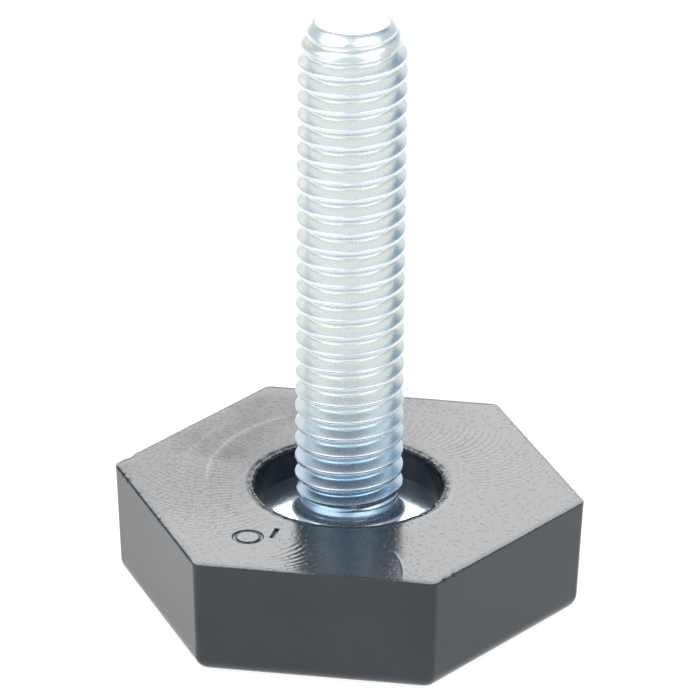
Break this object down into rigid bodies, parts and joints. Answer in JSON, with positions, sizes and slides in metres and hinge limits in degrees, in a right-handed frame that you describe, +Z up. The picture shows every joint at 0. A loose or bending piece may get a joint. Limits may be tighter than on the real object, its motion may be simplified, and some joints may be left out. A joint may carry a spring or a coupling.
{
  "type": "furniture leveling foot",
  "caption": "Hexagonal plastic foot moulded round the flange of an upright threaded steel stud that rises from a round recess, for levelling furniture.",
  "frame": {"origin": "centre of the underside of the base, on the floor and on the stud's axis", "axes": "+Z up along the stud; two corners of the hexagon on the X axis, two of its flats facing +Y and -Y"},
  "size_m": [0.0406, 0.0354, 0.0534],
  "materials": {
    "base_plastic": "semi-gloss charcoal moulded plastic with faint tool marks",
    "zinc_steel": "bright zinc plating with a blue-clear passivate"
  },
  "bodies": {
    "root": {"hex_base": "base_plastic", "threaded_stud": "zinc_steel"}
  },
  "joints": []
}
